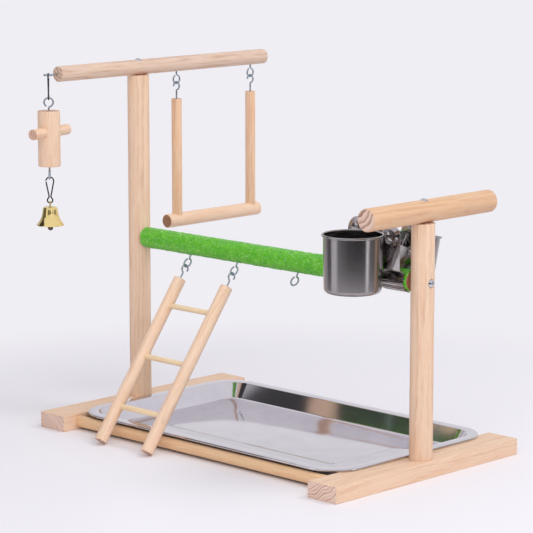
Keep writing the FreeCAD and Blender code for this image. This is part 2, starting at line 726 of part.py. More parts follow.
legAngle = math.radians(springLegAngle)
coilTurns = springTurns + (180.0 - 2 * (90.0 - springLegAngle)) / 360.0
coilLength = coilTurns * springPitch
slopeX = springPitch / (2 * math.pi * springRadius)
legRun = (armPlane - springRadius * math.sin(legAngle)) / math.cos(legAngle)


def springLegX(flip):
    # where the leg crosses the plate, along the perch
    return clipX + flip * (coilLength / 2 + legRun * slopeX)


def biarc(p0, t0, p1, t1):
    v, t = p1 - p0, t0 + t1
    k = 2 * (1 - t0.dot(t1))
    d = (-v.dot(t) + math.sqrt(v.dot(t) ** 2 + k * v.dot(v))) / k
    middle = (p0 + p1 + (t0 - t1) * d) * 0.5
    edges = []
    for a, b, corner in ((p0, middle, p0 + t0 * d), (middle, p1, p1 - t1 * d)):
        m = (a + b) * 0.5
        c, h = (a - m).Length, (corner - m).Length
        length = math.hypot(c, h)
        sag = c * length / h * (1 - c / length)
        edges.append(Part.Arc(a, m + (corner - m) * (sag / h), b).toShape())
    return edges


def coil(degrees):
    # point and heading on the coil; degrees runs clockwise from the front leg
    a = math.radians(springLegAngle - 90 - degrees)
    x = clipX + coilLength / 2 - springPitch * degrees / 360
    point = V(x, postLine - springRadius * math.cos(a),
              middlePerchHeight + pinHeight + springRadius * math.sin(a))
    run = 2 * math.pi * springRadius
    heading = V(-springPitch, -run * math.sin(a), -run * math.cos(a))
    heading.normalize()
    return point, heading


def torsionSpring():
    quarters = int(math.ceil(coilTurns * 4))
    stops = [coilTurns * 360 * i / quarters for i in range(quarters + 1)]
    first, last = coil(stops[0]), coil(stops[-1])
    edges = [Part.LineSegment(first[0] - first[1] * legRun, first[0]).toShape()]
    for a, b in zip(stops, stops[1:]):
        edges += biarc(*coil(a), *coil(b))
    edges.append(Part.LineSegment(last[0], last[0] + last[1] * legRun).toShape())
    return wire(edges, springWire)


def springGap():
    # least distance between neighbouring turns, on points one turn apart or more
    points = [coil(coilTurns * 360 * i / 400)[0] for i in range(401)]
    apart = int(400 / coilTurns * 0.6)
    return min((points[i] - points[j]).Length for i in range(401) for j in range(i + apart, 401)) - springWire


print("torsion spring: gap to itself %.2f mm" % springGap())

cup, cupW = cupSolid()
unit = {"clip_plate": clipArm(1, 0), "clip_arm": clipArm(-1, clipSheet + flangeFit)}
# tab from the left flange, curved round the cup wall
tabRadius = cupDiameter / 2 + tabFit
cupCentre = V(cupX, postLine - cupW, middlePerchHeight + tabTop - tabHeight)
tabEnd = clipOffset - armWidth / 2
ringSheet = Part.makeCylinder(tabRadius + clipSheet, tabHeight, cupCentre).cut(
    Part.makeCylinder(tabRadius, tabHeight, cupCentre))
tabSpan = slab(cupX - tabReach, cupX + tabEnd + clipSheet, cupCentre.y, postLine,
               cupCentre.z, cupCentre.z + tabHeight)
tab = ringSheet.common(tabSpan)
webOut = cupW - math.sqrt((tabRadius + clipSheet / 2) ** 2 - tabEnd ** 2)
web = slab(cupX + tabEnd, cupX + tabEnd + clipSheet, postLine - webOut, postLine - armPlane + 1,
           cupCentre.z, cupCentre.z + tabHeight)
plate = unit["clip_plate"].fuse(tab).fuse(web)
for i, offset in enumerate((rivetFar, rivetNear)):
    reach = math.sqrt(tabRadius ** 2 - offset ** 2)
    direction = V(offset, reach, 0)
    direction.normalize()
    height = V(0, 0, tabHeight / 2)
    axis = cupCentre + height
    inside = axis + direction * (cupDiameter / 2 - cupSheet)
    wallFace = inside - direction * rivetHeadHeight
    outside = axis + direction * (tabRadius + clipSheet)
    hole = rod(rivetDiameter + 2 * screwFit, wallFace, outside + direction)
    plate, cup = plate.cut(hole), cup.cut(hole)
    rivet = rod(rivetDiameter, inside - direction * 0.8, outside + direction * 0.2)
    dome = rod(rivetHead, inside - direction * (rivetHeadHeight + rivetSunk), inside - direction * rivetSunk)
    dome = dome.makeFillet(rivetHeadHeight * 0.6, [dome.Edges[0] if dome.Edges[0].Closed else dome.Edges[2]])
    tail = rod(rivetHead - 1, outside + direction * 0.15, outside + direction * (rivetHeadHeight * 0.6))
    unit["rivet_%d" % (i + 1)] = rivet.fuse(dome).fuse(tail).removeSplitter()
unit["clip_plate"] = plate
unit["cup"] = cup
pinHalf = armWidth / 2 + 0.1
pinAt = V(clipX, postLine, middlePerchHeight + pinHeight)
pin = rod(pinDiameter, pinAt - X * pinHalf, pinAt + X * pinHalf)
for s in (-1, 1):
    pin = pin.fuse(rod(pinHead, pinAt + X * s * pinHalf, pinAt + X * s * (pinHalf + pinHeadHeight)))
unit["clip_pin"] = pin.removeSplitter()
unit["clip_spring"] = torsionSpring()

perchAxis = V(rearTurnX, postLine, middlePerchHeight)
for name, solid in unit.items():
    pieces["front_" + name] = solid
    rear = solid.copy()
    rear.rotate(perchAxis, Z, 180)
    rear.rotate(perchAxis, X, -rearLean)
    pieces["rear_" + name] = rear

for name, solid in pieces.items():
    if len(solid.Solids) == 1:
        solid = solid.Solids[0]
    solid.exportStep("parts/%s.step" % name)
    print("%-20s %d solid(s) valid %s volume %.1f" % (name, len(solid.Solids), solid.isValid(), solid.Volume))
print(len(pieces), "pieces")
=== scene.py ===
import json
import math

import bmesh
import bpy
from mathutils import Matrix, Vector

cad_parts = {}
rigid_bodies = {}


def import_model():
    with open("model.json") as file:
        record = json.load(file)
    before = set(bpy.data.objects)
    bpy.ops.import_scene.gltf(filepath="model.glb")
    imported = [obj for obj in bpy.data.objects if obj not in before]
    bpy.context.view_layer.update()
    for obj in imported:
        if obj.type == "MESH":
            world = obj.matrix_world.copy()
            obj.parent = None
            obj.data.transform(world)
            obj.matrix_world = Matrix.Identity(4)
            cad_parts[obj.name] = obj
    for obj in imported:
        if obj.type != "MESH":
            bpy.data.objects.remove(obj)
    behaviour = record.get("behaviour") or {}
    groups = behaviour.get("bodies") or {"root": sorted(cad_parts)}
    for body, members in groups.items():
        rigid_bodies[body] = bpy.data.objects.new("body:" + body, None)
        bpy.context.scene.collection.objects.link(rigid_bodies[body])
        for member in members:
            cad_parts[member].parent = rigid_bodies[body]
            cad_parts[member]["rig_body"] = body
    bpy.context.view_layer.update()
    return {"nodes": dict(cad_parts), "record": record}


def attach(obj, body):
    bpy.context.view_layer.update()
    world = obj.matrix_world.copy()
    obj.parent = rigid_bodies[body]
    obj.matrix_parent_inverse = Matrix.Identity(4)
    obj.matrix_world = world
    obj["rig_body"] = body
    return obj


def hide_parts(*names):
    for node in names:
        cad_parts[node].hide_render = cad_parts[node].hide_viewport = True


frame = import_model()
nodes = frame["nodes"]
print("model loaded:", len(nodes), "nodes")

up = Vector((0, 0, 1))
tiny = 1e-6  # metres
mmInMetre = 1000


# working helpers
def deselect():
    if bpy.context.object and bpy.context.object.mode != "OBJECT":
        bpy.ops.object.mode_set(mode="OBJECT")
    bpy.ops.object.select_all(action="DESELECT")


def activate(piece):
    deselect()
    piece.select_set(True)
    bpy.context.view_layer.objects.active = piece


def newPiece(name):
    piece = bpy.context.object
    piece.name = name
    piece.data.name = name
    return piece


def settle():
    # puts the active piece's place, turn and scale into its mesh
    bpy.ops.object.transform_apply(location=True, rotation=True, scale=True)


def pick(piece, kind, test):
    # edit mode: selects what passes the test, and nothing else
    bpy.ops.mesh.select_mode(type=kind)
    bpy.ops.mesh.select_all(action="DESELECT")
    mesh = bmesh.from_edit_mesh(piece.data)
    mesh.select_mode = {kind}
    for part in {"VERT": mesh.verts, "EDGE": mesh.edges, "FACE": mesh.faces}[kind]:
        if test(part):
            part.select_set(True)
    mesh.select_flush_mode()
    bmesh.update_edit_mesh(piece.data)


def apply(piece, kind, **settings):
    activate(piece)
    modifier = piece.modifiers.new(kind.lower(), kind)
    for key, value in settings.items():
        setattr(modifier, key, value)
    bpy.ops.object.modifier_apply(modifier=modifier.name)


def finish(piece, body, slotName, material, *stands, angle=35):
    activate(piece)
    settle()
    bpy.ops.object.shade_smooth_by_angle(angle=math.radians(angle))
    piece.data.materials.clear()
    piece.data.materials.append(material)
    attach(piece, body)
    if stands:
        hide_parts(*stands)
    return piece


def copyPiece(piece, name, matrix):
    twin = piece.copy()
    twin.data = piece.data.copy()
    twin.name = twin.data.name = name
    bpy.context.scene.collection.objects.link(twin)
    twin.data.transform(matrix)
    return twin


def lathe(name, profile, base, axis=up, steps=96, closed=True):
    # a profile of (radius, height) points drawn from one vertex and spun round the axis
    deselect()
    base = Vector(base)
    turn = up.rotation_difference(axis).to_matrix()
    points = [base + turn @ Vector((r, 0, h)) for r, h in profile]
    bpy.ops.mesh.primitive_plane_add(size=0.001, location=points[0])
    piece = newPiece(name)
    settle()
    bpy.ops.object.mode_set(mode="EDIT")
    bpy.ops.mesh.select_mode(type="VERT")
    bpy.ops.mesh.select_all(action="SELECT")
    bpy.ops.mesh.merge(type="CENTER")
    for a, b in zip(points, points[1:]):
        bpy.ops.mesh.extrude_region_move(TRANSFORM_OT_translate={"value": b - a})
    if closed:
        bpy.ops.mesh.extrude_region_move(TRANSFORM_OT_translate={"value": points[0] - points[-1]})
    bpy.ops.mesh.select_all(action="SELECT")
    bpy.ops.mesh.remove_doubles(threshold=tiny)
    bpy.ops.mesh.spin(steps=steps, angle=2 * math.pi, center=base, axis=axis)
    bpy.ops.mesh.select_all(action="SELECT")
    bpy.ops.mesh.remove_doubles(threshold=tiny)
    bpy.ops.mesh.normals_make_consistent(inside=False)
    bpy.ops.object.mode_set(mode="OBJECT")
    return piece


def curve(centre, radius, first, last, steps):
    points = []
    for i in range(steps + 1):
        a = math.radians(first + (last - first) * i / steps)
        points.append((centre[0] + radius * math.cos(a), centre[1] + radius * math.sin(a)))
    return points


def dowel(name, start, end, diameter, ease, around=80):
    # a round bar with eased ends
    deselect()
    start, end = Vector(start), Vector(end)
    length = (end - start).length
    bpy.ops.mesh.primitive_cylinder_add(
        vertices=around, radius=diameter / 2, depth=length, location=(start + end) / 2,
        rotation=up.rotation_difference(end - start).to_euler())
    piece = newPiece(name)
    bpy.ops.object.mode_set(mode="EDIT")
    pick(piece, "EDGE", lambda e: abs(e.verts[0].co.z - e.verts[1].co.z) < tiny)
    bpy.ops.mesh.bevel(offset=ease, segments=3, profile=0.55)
    bpy.ops.object.mode_set(mode="OBJECT")
    settle()
    return piece


def drill(piece, start, end, diameter, tip=None):
    # cuts a round hole, or a tapered one
    deselect()
    start, end = Vector(start), Vector(end)
    bpy.ops.mesh.primitive_cone_add(
        vertices=48, radius1=diameter / 2, radius2=(tip or diameter) / 2, depth=(end - start).length,
        location=(start + end) / 2, rotation=up.rotation_difference(end - start).to_euler())
    bit = bpy.context.object
    apply(piece, "BOOLEAN", object=bit, operation="DIFFERENCE", solver="EXACT")
    bpy.data.objects.remove(bit)


# shader helpers
def nodeIn(tree, kind, inputs=None, links=None, **settings):
    node = tree.nodes.new(kind)
    for key, value in settings.items():
        setattr(node, key, value)
    for key, value in (inputs or {}).items():
        node.inputs[key].default_value = value
    for key, value in (links or {}).items():
        tree.links.new(value, node.inputs[key])
    return node


def placeIn(tree):
    return nodeIn(tree, "ShaderNodeTexCoord").outputs["Object"]


def mathIn(tree, operation, a, b=None, c=None, clamp=False):
    node = tree.nodes.new("ShaderNodeMath")
    node.operation = operation
    node.use_clamp = clamp
    for socket, value in zip(node.inputs, (a, b, c)):
        if isinstance(value, (int, float)):
            socket.default_value = value
        elif value is not None:
            tree.links.new(value, socket)
    return node.outputs[0]


def mixIn(tree, factor, a, b, blend="MIX"):
    node = tree.nodes.new("ShaderNodeMix")
    node.data_type = "RGBA"
    node.blend_type = blend
    for socket, value in ((node.inputs[0], factor), (node.inputs[6], a), (node.inputs[7], b)):
        if isinstance(value, bpy.types.NodeSocket):
            tree.links.new(value, socket)
        elif isinstance(value, (int, float)):
            socket.default_value = value
        else:
            socket.default_value = (*value, 1)
    return node.outputs[2]


def rampIn(tree, factor, stops, ease="LINEAR"):
    node = tree.nodes.new("ShaderNodeValToRGB")
    node.color_ramp.interpolation = ease
    tree.links.new(factor, node.inputs[0])
    points = node.color_ramp.elements
    while len(points) < len(stops):
        points.new(0.5)
    for point, (at, colour) in zip(points, stops):
        point.position = at
        point.color = (colour, colour, colour, 1) if isinstance(colour, (int, float)) else (*colour, 1)
    return node.outputs[0]


def noiseIn(tree, place, scale, detail=2.0, rough=0.5, output="Fac"):
    node = nodeIn(tree, "ShaderNodeTexNoise", inputs={"Scale": scale, "Detail": detail, "Roughness": rough},
                  links={"Vector": place})
    return node.outputs[output]


def stretchIn(tree, place, by):
    scaled = nodeIn(tree, "ShaderNodeVectorMath", operation="MULTIPLY", inputs={1: by}, links={0: place})
    return scaled.outputs[0]


def newGroup(name, inputs, outputs):
    group = bpy.data.node_groups.new(name, "ShaderNodeTree")
    for label, kind, value in inputs:
        socket = group.interface.new_socket(label, in_out="INPUT", socket_type="NodeSocket" + kind)
        if value is not None:
            socket.default_value = value
    for label, kind in outputs:
        group.interface.new_socket(label, in_out="OUTPUT", socket_type="NodeSocket" + kind)
    return group, group.nodes.new("NodeGroupInput").outputs, group.nodes.new("NodeGroupOutput").inputs


def newMaterial(name, **settings):
    material = bpy.data.materials.new(name)
    material.use_nodes = True
    shader = material.node_tree.nodes["Principled BSDF"]
    for key, value in settings.items():
        shader.inputs[key].default_value = value
    return material, material.node_tree, shader


def useGroup(tree, group, links, **values):
    node = tree.nodes.new("ShaderNodeGroup")
    node.node_tree = group
    for key, value in values.items():
        node.inputs[key].default_value = value
    for key, value in links.items():
        tree.links.new(value, node.inputs[key])
    return node.outputs


def bumpInto(tree, shader, height, strength, distance):
    bump = nodeIn(tree, "ShaderNodeBump", inputs={"Strength": strength, "Distance": distance},
                  links={"Height": height})
    tree.links.new(bump.outputs[0], shader.inputs["Normal"])


# pine: yearly rings round the pith, drawn-out fibres, sawn ends
pineGrain = dict(  # changes per mm, twice across the grain and once along it
    wander=(0.045, 0.045, 0.009), patches=(0.09, 0.09, 0.014), broad=(0.12, 0.12, 0.014),
    fibres=(1.7, 1.7, 0.05), fine=(5.5, 5.5, 0.3), dashes=(2.6, 2.6, 0.2), pores=(3.2, 3.2, 3.2),
    wanderBy=(15, 15, 0), ringStretch=(1, 1, 0.02), hatch=(1.4, 1.6), endFade=(5.0, 1.4))
pineGroup, given, made = newGroup(
    "pineWood",
    [("Place", "Vector", None), ("Half length", "Float", 100.0), ("Ring width", "Float", 2.6),
     ("Contrast", "Float", 0.5), ("Saw marks", "Float", 0.0), ("Pale", "Color", (0.9, 0.67, 0.5, 1)),
     ("Ring", "Color", (0.64, 0.38, 0.2, 1)), ("Sawn", "Color", (0.8, 0.58, 0.45, 1)),
     ("Sawn ring", "Color", (0.35, 0.16, 0.09, 1))],
    [("Color", "Color"), ("Roughness", "Float"), ("Height", "Float")])
tree = pineGroup
grainPlace = stretchIn(tree, given["Place"], (mmInMetre, mmInMetre, mmInMetre))
alongGrain = mathIn(tree, "ABSOLUTE", nodeIn(tree, "ShaderNodeSeparateXYZ", links={0: grainPlace}).outputs[2])
pastEnd = mathIn(tree, "SUBTRACT", alongGrain, given["Half length"])
atEnd = mathIn(tree, "MULTIPLY_ADD", pastEnd, *pineGrain["endFade"], clamp=True)
# rings: the distance from the pith, drawn off its line by a slow noise
slow = noiseIn(tree, stretchIn(tree, grainPlace, pineGrain["wander"]), 1.0, 2.5, 0.55, "Color")
warp = nodeIn(tree, "ShaderNodeVectorMath", operation="MULTIPLY_ADD", inputs={1: pineGrain["wanderBy"]},
              links={0: slow, 2: grainPlace}).outputs[0]
flat = stretchIn(tree, warp, pineGrain["ringStretch"])
distance = nodeIn(tree, "ShaderNodeVectorMath", operation="LENGTH", links={0: flat}).outputs["Value"]
rings = mathIn(tree, "DIVIDE", distance, given["Ring width"])
yearly = nodeIn(tree, "ShaderNodeTexWhiteNoise", noise_dimensions="1D",
                links={"W": mathIn(tree, "FLOOR", rings)}).outputs["Value"]
late = rampIn(tree, mathIn(tree, "FRACT", rings),
              ((0.0, 0.3), (0.16, 0.0), (0.4, 0.08), (0.75, 0.6), (0.92, 1.0), (1.0, 0.3)))
late = mathIn(tree, "MULTIPLY", late, mathIn(tree, "MULTIPLY_ADD", yearly, 0.8, 0.3))
patches = rampIn(tree, noiseIn(tree, stretchIn(tree, grainPlace, pineGrain["patches"]), 1.0, 2.0, 0.5),
                 ((0.38, 0.12), (0.62, 1.0)))
fibres = noiseIn(tree, stretchIn(tree, grainPlace, pineGrain["fibres"]), 1.0, 4.0, 0.68)
fine = noiseIn(tree, stretchIn(tree, grainPlace, pineGrain["fine"]), 1.0, 2.0, 0.6)
broad = noiseIn(tree, stretchIn(tree, grainPlace, pineGrain["broad"]), 1.0, 2.0, 0.5)
dashes = rampIn(tree, noiseIn(tree, stretchIn(tree, grainPlace, pineGrain["dashes"]), 1.0, 1.0),
                ((0.66, 0.0), (0.73, 1.0)))
broken = rampIn(tree, fibres, ((0.36, 1.0), (0.6, 0.35)))  # fibres that break the ring lines
ringShow = mathIn(tree, "MULTIPLY", mathIn(tree, "MULTIPLY", late, patches),
                  mathIn(tree, "MULTIPLY", broken, given["Contrast"]))
# the bar's side
side = mixIn(tree, ringShow, given["Pale"], given["Ring"])
side = mixIn(tree, mathIn(tree, "MULTIPLY", dashes, 0.42), side, given["Ring"])
streak = rampIn(tree, fibres, ((0.3, (0.88, 0.79, 0.72)), (0.48, (0.97, 0.95, 0.93)), (0.62, (1, 1, 1))))
side = mixIn(tree, 0.8, side, streak, "MULTIPLY")
tint = rampIn(tree, broad, ((0.35, (0.96, 0.88, 0.82)), (0.5, (1, 1, 1)), (0.68, (1, 0.96, 0.9))))
side = mixIn(tree, 0.8, side, tint, "MULTIPLY")
# the sawn end, with crossed saw marks
pores = noiseIn(tree, stretchIn(tree, grainPlace, pineGrain["pores"]), 1.0, 3.0, 0.7)
across = nodeIn(tree, "ShaderNodeSeparateXYZ", links={0: warp}).outputs
leftHatch = mathIn(tree, "DIVIDE", mathIn(tree, "ADD", across[0], across[1]), pineGrain["hatch"][0])
rightHatch = mathIn(tree, "DIVIDE", mathIn(tree, "SUBTRACT", across[0], across[1]), pineGrain["hatch"][1])
hatch = mathIn(tree, "MAXIMUM", mathIn(tree, "FRACT", leftHatch), mathIn(tree, "FRACT", rightHatch))
hatch = mathIn(tree, "MULTIPLY", rampIn(tree, hatch, ((0.8, 0.0), (0.9, 0.8), (1.0, 0.2))), given["Saw marks"])
cutEnd = mixIn(tree, late, given["Sawn"], given["Sawn ring"])
cutEnd = mixIn(tree, hatch, cutEnd, given["Sawn ring"])
poreShade = rampIn(tree, pores, ((0.3, (0.72, 0.62, 0.58)), (0.5, (1, 1, 1))))
cutEnd = mixIn(tree, 0.7, cutEnd, poreShade, "MULTIPLY")
tree.links.new(mixIn(tree, atEnd, side, cutEnd), made["Color"])
grainHeight = mathIn(tree, "MULTIPLY_ADD", fibres, 0.6, mathIn(tree, "MULTIPLY", fine, 0.4))
grainHeight = mathIn(tree, "MULTIPLY_ADD", dashes, -0.4, grainHeight)
grainHeight = mathIn(tree, "MULTIPLY_ADD", mathIn(tree, "MULTIPLY", pores, atEnd), 1.2, grainHeight)
tree.links.new(grainHeight, made["Height"])
tree.links.new(mathIn(tree, "MULTIPLY_ADD", fibres, 0.16, 0.48), made["Roughness"])
print("pine group ready")


def pine(name, start, end, pith, ringWidth, contrast, pale=(0.91, 0.675, 0.5), ring=(0.55, 0.31, 0.2),
         sawn=(0.74, 0.5, 0.38), sawnRing=(0.42, 0.2, 0.12), sawMarks=0.0):
    # the grain runs from start to end, and pith is a point on the log's centre line, all in metres
    material, tree, shader = newMaterial(name, **{"Specular IOR Level": 0.32, "Coat Roughness": 0.5})
    start, end, pith = Vector(start), Vector(end), Vector(pith)
    along = (end - start).normalized()
    middle = pith + along * along.dot((start + end) / 2 - pith)
    turn = along.rotation_difference(up)
    mapping = nodeIn(tree, "ShaderNodeMapping", links={"Vector": placeIn(tree)},
                     inputs={"Rotation": turn.to_euler(), "Location": -(turn @ middle)})
    out = useGroup(tree, pineGroup, {"Place": mapping.outputs[0]},
                   **{"Half length": (end - start).length * mmInMetre / 2, "Ring width": ringWidth,
                      "Contrast": contrast, "Saw marks": sawMarks, "Pale": (*pale, 1), "Ring": (*ring, 1),
                      "Sawn": (*sawn, 1), "Sawn ring": (*sawnRing, 1)})
    tree.links.new(out["Color"], shader.inputs["Base Color"])
    tree.links.new(out["Roughness"], shader.inputs["Roughness"])
    bumpInto(tree, shader, out["Height"], 0.35, 0.0002)
    return material


def woodenBar(node, body, start, end, diameter, ease, pith, rings, contrast, around=80, slotName="pine",
              holes=(), **look):
    piece = dowel(node + "_wood", start, end, diameter, ease, around)
    for first, last in holes:
        drill(piece, first, last, screwHole)
    return finish(piece, body, slotName, pine(node + "Pine", start, end, pith, rings, contrast, **look), node)


# metal: rolled sheet, drawn wire, plating
metalLook = dict(lines=900.0, clouds=38.0)  # noise scales
metalGroup, given, made = newGroup(
    "metalSkin",
    [("Place", "Vector", None), ("Stretch", "Vector", (1, 1, 1)), ("Roughness", "Float", 0.2),
     ("Variation", "Float", 0.1), ("Metal", "Color", (0.6, 0.6, 0.6, 1)),
     ("Soiled", "Color", (0.5, 0.5, 0.5, 1))],
    [("Color", "Color"), ("Roughness", "Float"), ("Height", "Float")])
tree = metalGroup
skin = nodeIn(tree, "ShaderNodeVectorMath", operation="MULTIPLY",
              links={0: given["Place"], 1: given["Stretch"]})
lines = noiseIn(tree, skin.outputs[0], metalLook["lines"], 3.0, 0.6)
cloud = noiseIn(tree, given["Place"], metalLook["clouds"], 3.0, 0.55)
tree.links.new(mixIn(tree, rampIn(tree, cloud, ((0.35, 0.0), (0.7, 1.0))), given["Metal"], given["Soiled"]),
               made["Color"])
uneven = mathIn(tree, "ADD", mathIn(tree, "SUBTRACT", lines, 0.5), mathIn(tree, "SUBTRACT", cloud, 0.5))
tree.links.new(mathIn(tree, "MULTIPLY_ADD", uneven, given["Variation"], given["Roughness"], clamp=True),
               made["Roughness"])
tree.links.new(lines, made["Height"])


def metal(name, colour, soiled, roughness, variation, stretch, bump):
    material, tree, shader = newMaterial(name, Metallic=1.0)
    place = placeIn(tree)
    out = useGroup(tree, metalGroup, {"Place": place}, Stretch=stretch, Roughness=roughness,
                   Variation=variation, Metal=(*colour, 1), Soiled=(*soiled, 1))
    tree.links.new(out["Color"], shader.inputs["Base Color"])
    tree.links.new(out["Roughness"], shader.inputs["Roughness"])
    bumpInto(tree, shader, out["Height"], bump, 0.0001)
    return material


traySteel = metal("traySteel", (0.69, 0.665, 0.7), (0.64, 0.615, 0.65), 0.085, 0.03, (1, 0.06, 1), 0.02)
cupSteel = metal("cupSteel", (0.37, 0.35, 0.355), (0.33, 0.31, 0.31), 0.19, 0.08, (1, 1, 0.03), 0.02)
clipSteel = metal("clipSteel", (0.5, 0.47, 0.47), (0.38, 0.35, 0.35), 0.1, 0.1, (0.2, 1, 1), 0.04)
zincWire = metal("zincWire", (0.52, 0.59, 0.66), (0.4, 0.47, 0.54), 0.2, 0.2, (1, 1, 1), 0.1)
darkWire = metal("darkWire", (0.1, 0.093, 0.09), (0.06, 0.055, 0.055), 0.28, 0.2, (1, 1, 1), 0.1)
screwSteel = metal("screwSteel", (0.66, 0.68, 0.72), (0.5, 0.52, 0.56), 0.18, 0.15, (1, 1, 1), 0.06)
bellBrass = metal("bellBrass", (0.93, 0.75, 0.33), (0.86, 0.66, 0.26), 0.13, 0.06, (1, 1, 1), 0.02)
clapperIron = metal("clapperIron", (0.14, 0.11, 0.09), (0.09, 0.07, 0.06), 0.35, 0.2, (1, 1, 1), 0.1)
print("metals ready")


# grit: bonded grains in green binder
grit = dict(grains=1150.0, patches=130.0, deep=(0.1, 0.52, 0.008), bright=(0.19, 0.68, 0.025),
            dark=(0.05, 0.36, 0.012), clear=(0.66, 0.88, 0.52))


def gritMaterial():
    material, tree, shader = newMaterial("greenGrit", **{
        "Specular IOR Level": 0.35, "Coat Roughness": 0.25, "Sheen Weight": 0.35, "Sheen Roughness": 0.35})
    place = placeIn(tree)
    cells = nodeIn(tree, "ShaderNodeTexVoronoi", inputs={"Scale": grit["grains"]}, links={"Vector": place})
    grain = nodeIn(tree, "ShaderNodeSeparateColor", links={0: cells.outputs["Color"]}).outputs
    patches = noiseIn(tree, place, grit["patches"], 3.0, 0.6)
    green = mixIn(tree, rampIn(tree, patches, ((0.35, 0.0), (0.65, 1.0))), grit["deep"], grit["bright"])
    green = mixIn(tree, mathIn(tree, "MULTIPLY", grain[0], 0.45), green, grit["dark"])
    clear = rampIn(tree, grain[1], ((0.92, 0.0), (0.98, 1.0)))
    green = mixIn(tree, mathIn(tree, "MULTIPLY", clear, 0.7), green, grit["clear"])
    tree.links.new(green, shader.inputs["Base Color"])
    grainRough = mathIn(tree, "ADD", mathIn(tree, "MULTIPLY", grain[2], 0.35), 0.22)
    tree.links.new(grainRough, shader.inputs["Roughness"])
    shader.inputs["Coat Weight"].default_value = 0.1
    shader.inputs["Subsurface Weight"].default_value = 0.12
    shader.inputs["Subsurface Radius"].default_value = (0.3, 1.0, 0.1)
    shader.inputs["Subsurface Scale"].default_value = 0.001
    bumpInto(tree, shader, cells.outputs["Distance"], 0.6, 0.0006)
    return material


greenGrit = gritMaterial()
print("grit ready")

# the frame's dowels
dowels = [
    dict(node="tall_post", start=(0, -0.008, 0.018), end=(0, -0.008, 0.3945), diameter=0.025, ease=0.0003,
         pith=(-0.026, -0.04, 0), rings=5.2, contrast=0.85),
    dict(node="short_post", start=(0.434, -0.008, 0.018), end=(0.434, -0.008, 0.2695), diameter=0.025,
         ease=0.0003, pith=(0.42, -0.052, 0), rings=6.0, contrast=0.9),
    dict(node="top_perch", start=(0, -0.1295, 0.40325), end=(0, 0.1965, 0.40325), diameter=0.0175, ease=0.0012,
         pith=(0.03, 0, 0.428), rings=4.6, contrast=1.0,
         pale=(0.79, 0.605, 0.485), ring=(0.44, 0.27, 0.2), sawn=(0.8, 0.6, 0.47)),
    dict(node="side_perch", start=(0.434, -0.0965, 0.2815), end=(0.434, 0.0985, 0.2815), diameter=0.024,
         ease=0.0014, pith=(0.404, 0, 0.31), rings=6.4, contrast=1.0, pale=(0.79, 0.53, 0.335),
         sawn=(0.84, 0.62, 0.5), sawnRing=(0.26, 0.1, 0.05)),
    dict(node="front_rail", start=(0.008, -0.121, 0.009), end=(0.422, -0.121, 0.009), diameter=0.013,
         ease=0.0003, pith=(0, -0.1, 0.03), rings=3.6, contrast=0.5, pale=(0.88, 0.6, 0.36)),
    dict(node="rear_rail", start=(0.008, 0.121, 0.009), end=(0.422, 0.121, 0.009), diameter=0.013, ease=0.0003,
         pith=(0, 0.14, -0.01), rings=3.2, contrast=0.45),
    dict(node="middle_perch", start=(0.0125, -0.008, 0.207), end=(0.4215, -0.008, 0.207), diameter=0.022,
         ease=0.0002, pith=(0, 0.004, 0.19), rings=2.4, contrast=0.8, pale=(0.6, 0.3, 0.17),
         ring=(0.35, 0.14, 0.07), sawn=(0.42, 0.19, 0.11), sawnRing=(0.16, 0.05, 0.03)),
]
screwHole = 0.0096
spotFaces = {
    "tall_post": [((-0.0116, -0.008, 0.207), (-0.0146, -0.008, 0.207))],
    "short_post": [((0.4456, -0.008, 0.207), (0.4486, -0.008, 0.207))],
    "top_perch": [((0, -0.008, 0.4108), (0, -0.008, 0.414))],
    "side_perch": [((0.434, -0.008, 0.2923), (0.434, -0.008, 0.2955))],
}
for bar in dowels:
    woodenBar(body="frame", holes=spotFaces.get(bar["node"], ()), **bar)
print("dowels placed")

# foot boards
footBoard = dict(size=(0.04, 0.29, 0.018), ease=0.0009, sinkFrom=-0.001, sinkTo=0.0035, sinkMouth=0.0104,
                 sinkTip=0.004)
feet = [
    dict(node="left_foot", centre=(0, 0, 0.009), screwAt=(0, -0.008), pith=(-0.012, 0, -0.03), rings=3.4),
    dict(node="right_foot", centre=(0.43, -0.011, 0.009), screwAt=(0.434, -0.008), pith=(0.412, 0, 0.044),
         rings=3.0),
]
for foot in feet:
    deselect()
    bpy.ops.mesh.primitive_cube_add(size=1, location=foot["centre"], scale=footBoard["size"])
    piece = newPiece(foot["node"] + "_wood")
    settle()
    bpy.ops.object.mode_set(mode="EDIT")
    bpy.ops.mesh.select_all(action="SELECT")
    bpy.ops.mesh.bevel(offset=footBoard["ease"], segments=3, profile=0.6)
    bpy.ops.object.mode_set(mode="OBJECT")
    x, y = foot["screwAt"]
    drill(piece, (x, y, footBoard["sinkFrom"]), (x, y, footBoard["sinkTo"]), footBoard["sinkMouth"],
          footBoard["sinkTip"])
    toEnd = Vector((0, footBoard["size"][1] / 2, 0))
    centre = Vector(foot["centre"])
    wood = pine(foot["node"] + "Pine", centre - toEnd, centre + toEnd, foot["pith"], foot["rings"],
                contrast=0.8, sawn=(0.94, 0.74, 0.61), sawnRing=(0.5, 0.24, 0.17), sawMarks=0.85)
    finish(piece, "frame", "pine", wood, foot["node"])
print("foot boards placed")

